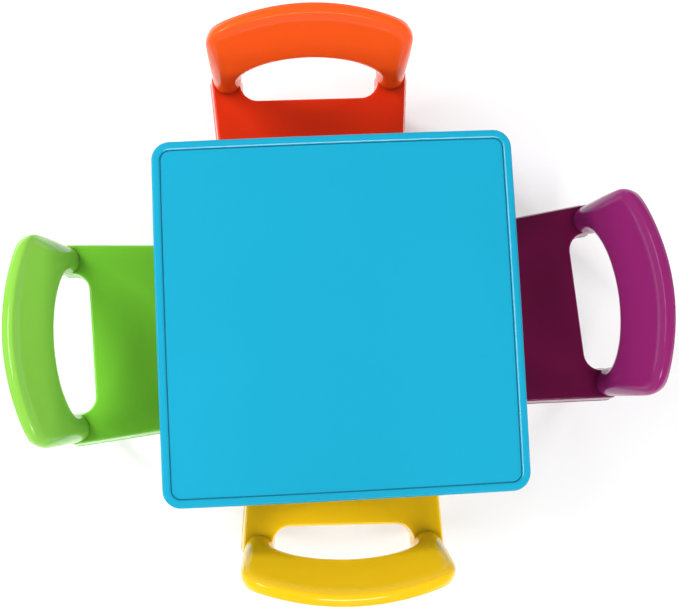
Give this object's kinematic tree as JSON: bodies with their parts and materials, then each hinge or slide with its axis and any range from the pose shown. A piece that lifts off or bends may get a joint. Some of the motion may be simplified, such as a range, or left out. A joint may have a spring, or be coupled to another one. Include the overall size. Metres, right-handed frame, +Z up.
{
  "type": "kids table and chairs",
  "caption": "Square moulded-plastic play table with a raised lip, and a loop-backed chair tucked in at each side, all on round tapered legs.",
  "frame": {"origin": "on the floor, in the middle of the set's footprint (the table's centre is within 20 mm of it)", "axes": "+Z up; +Y towards the orange chair, +X towards the purple chair; the table's sides lie along X and Y"},
  "size_m": [0.9134, 0.8222, 0.5063],
  "materials": {
    "table_plastic": "glossy injection-moulded polypropylene with faint sink marks",
    "orange_plastic": "glossy injection-moulded polypropylene with faint sink marks",
    "green_plastic": "glossy injection-moulded polypropylene with faint sink marks",
    "yellow_plastic": "glossy injection-moulded polypropylene with faint sink marks",
    "purple_plastic": "glossy injection-moulded polypropylene with faint sink marks"
  },
  "bodies": {
    "table": {"table_top": "table_plastic", "table_leg_1": "table_plastic", "table_leg_2": "table_plastic", "table_leg_3": "table_plastic", "table_leg_4": "table_plastic"},
    "orange_chair": {"orange_seat": "orange_plastic", "orange_backrest": "orange_plastic", "orange_leg_front_left": "orange_plastic", "orange_leg_front_right": "orange_plastic", "orange_leg_rear_left": "orange_plastic", "orange_leg_rear_right": "orange_plastic"},
    "green_chair": {"green_seat": "green_plastic", "green_backrest": "green_plastic", "green_leg_front_left": "green_plastic", "green_leg_front_right": "green_plastic", "green_leg_rear_left": "green_plastic", "green_leg_rear_right": "green_plastic"},
    "yellow_chair": {"yellow_seat": "yellow_plastic", "yellow_backrest": "yellow_plastic", "yellow_leg_front_left": "yellow_plastic", "yellow_leg_front_right": "yellow_plastic", "yellow_leg_rear_left": "yellow_plastic", "yellow_leg_rear_right": "yellow_plastic"},
    "purple_chair": {"purple_seat": "purple_plastic", "purple_backrest": "purple_plastic", "purple_leg_front_left": "purple_plastic", "purple_leg_front_right": "purple_plastic", "purple_leg_rear_left": "purple_plastic", "purple_leg_rear_right": "purple_plastic"}
  },
  "joints": [
    {"name": "orange_chair_slide", "type": "slide", "parent": "table", "child": "orange_chair", "axis": [0.007, 1, 0], "range_m": [0, 0.35]},
    {"name": "green_chair_slide", "type": "slide", "parent": "table", "child": "green_chair", "axis": [-0.9995, -0.0314, 0], "range_m": [0, 0.35]},
    {"name": "yellow_chair_slide", "type": "slide", "parent": "table", "child": "yellow_chair", "axis": [-0.0297, -0.9996, 0], "range_m": [0, 0.35]},
    {"name": "purple_chair_slide", "type": "slide", "parent": "table", "child": "purple_chair", "axis": [0.9973, 0.0732, 0], "range_m": [0, 0.35]}
  ]
}
